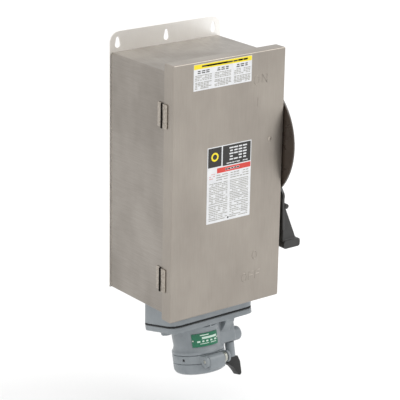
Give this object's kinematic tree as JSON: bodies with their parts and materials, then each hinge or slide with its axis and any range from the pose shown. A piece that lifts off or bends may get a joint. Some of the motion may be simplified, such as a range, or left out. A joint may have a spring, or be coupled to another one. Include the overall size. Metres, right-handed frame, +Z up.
{
  "type": "fused disconnect switch",
  "caption": "Stainless wall-mounted fused disconnect switch with a side handle and round guard, over an angled grey pin-and-sleeve receptacle with a hinged cap and a release lever.",
  "frame": {"origin": "centre of the back panel's rear (wall) face, at mid-height of the door", "axes": "+Y into the wall, +Z up, +X to the right as the door is faced"},
  "size_m": [0.2808, 0.1988, 0.599],
  "materials": {
    "stainless": "brushed",
    "guard_paint": "satin",
    "handle_paint": "satin",
    "grip_moulding": "matte",
    "plated_steel": "satin plate",
    "brass": "satin",
    "seal_rubber": "matte",
    "copper": "bare copper, satin",
    "base_moulding": "matte",
    "fuse_tube": "matte fibre",
    "wire_black": "semi-gloss",
    "wire_green": "semi-gloss",
    "cast_grey": "cast, grey finish",
    "nameplate": "gloss enamel"
  },
  "bodies": {
    "enclosure": {"back_panel": "stainless", "enclosure_body": "stainless", "hinge_body_leaf_upper": "stainless", "hinge_body_leaf_lower": "stainless", "latch_base_upper": "stainless", "latch_base_lower": "stainless", "handle_guard": "guard_paint", "handle_bushing": "brass", "mechanism_housing": "plated_steel", "mechanism_spring": "plated_steel", "line_base": "base_moulding", "line_terminal_1": "copper", "line_terminal_2": "copper", "line_terminal_3": "copper", "load_base": "base_moulding", "fuse_clip_1": "copper", "fuse_clip_2": "copper", "fuse_clip_3": "copper", "load_terminal_1": "copper", "load_terminal_2": "copper", "load_terminal_3": "copper", "fuse_1": "fuse_tube", "fuse_2": "fuse_tube", "fuse_3": "fuse_tube", "phase_wire_1": "wire_black", "phase_wire_2": "wire_black", "phase_wire_3": "wire_black", "ground_lug": "brass", "ground_wire": "wire_green", "receptacle_adapter": "cast_grey", "receptacle_gasket": "seal_rubber", "receptacle_housing": "cast_grey", "receptacle_nameplate": "nameplate", "contact_insulator": "base_moulding", "collar_ring": "cast_grey", "cap_hinge_pin": "plated_steel", "cap_spring": "plated_steel", "lever_pivot_pin": "plated_steel"},
    "door": {"door_panel": "stainless", "door_gasket": "seal_rubber", "hinge_door_leaf_upper": "stainless", "hinge_door_leaf_lower": "stainless"},
    "defeater": {"defeater_screw": "stainless"},
    "handle": {"handle_shaft": "plated_steel", "handle_arm": "handle_paint", "handle_grip": "grip_moulding", "grip_pin": "handle_paint", "drive_cam": "plated_steel"},
    "rotor": {"rotor_crossbar": "base_moulding", "switch_blade_1": "copper", "switch_blade_2": "copper", "switch_blade_3": "copper"},
    "cap": {"receptacle_cap": "cast_grey", "cap_gasket": "seal_rubber"},
    "lever": {"release_lever": "cast_grey", "lever_tip": "grip_moulding"},
    "latch_upper": {"latch_lever_upper": "stainless"},
    "latch_lower": {"latch_lever_lower": "stainless"},
    "bail_upper": {"latch_bail_upper": "stainless"},
    "bail_lower": {"latch_bail_lower": "stainless"}
  },
  "joints": [
    {"name": "door_hinge", "type": "hinge", "parent": "enclosure", "child": "door", "pos_m": [-0.1153, -0.1473, 0], "axis": [0, 0, -1], "range_deg": [0, 110]},
    {"name": "defeater_turn", "type": "hinge", "parent": "door", "child": "defeater", "pos_m": [0.0848, -0.1743, 0.0659], "axis": [0, 1, 0], "range_deg": [0, 90]},
    {"name": "handle_throw", "type": "hinge", "parent": "enclosure", "child": "handle", "pos_m": [0.1223, -0.0888, 0.047], "axis": [-1, 0, 0], "range_deg": [0, 110]},
    {"name": "rotor_swing", "type": "hinge", "parent": "enclosure", "child": "rotor", "pos_m": [0, -0.051, 0.0997], "axis": [-1, 0, 0], "range_deg": [0, 60]},
    {"name": "cap_swing", "type": "hinge", "parent": "enclosure", "child": "cap", "pos_m": [-0.0103, -0.1657, -0.307], "axis": [-1, 0, 0], "range_deg": [0, 110], "stiffness_Nm_per_rad": 0.15, "springref_deg": -143.24},
    {"name": "lever_pull", "type": "hinge", "parent": "enclosure", "child": "lever", "pos_m": [0.0488, -0.1241, -0.29204], "axis": [-1, 0, 0], "range_deg": [0, 10], "stiffness_Nm_per_rad": 0.3, "springref_deg": -28.65},
    {"name": "latch_upper_open", "type": "hinge", "parent": "enclosure", "child": "latch_upper", "pos_m": [0.1174, -0.1243, 0.1739], "axis": [0, 0, -1], "range_deg": [0, 95]},
    {"name": "bail_upper_swing", "type": "hinge", "parent": "latch_upper", "child": "bail_upper", "pos_m": [0.1184, -0.1163, 0.1739], "axis": [0, 0, -1], "range_deg": [-115, 0]},
    {"name": "latch_lower_open", "type": "hinge", "parent": "enclosure", "child": "latch_lower", "pos_m": [0.1174, -0.1243, -0.1559], "axis": [0, 0, -1], "range_deg": [0, 95]},
    {"name": "bail_lower_swing", "type": "hinge", "parent": "latch_lower", "child": "bail_lower", "pos_m": [0.1184, -0.1163, -0.1559], "axis": [0, 0, -1], "range_deg": [-115, 0]}
  ],
  "couplings": [
    {"joint": "rotor_swing", "follows": "handle_throw", "ratio": 0.54545},
    {"joint": "bail_upper_swing", "follows": "latch_upper_open", "ratio": -1.2},
    {"joint": "bail_lower_swing", "follows": "latch_lower_open", "ratio": -1.2}
  ]
}
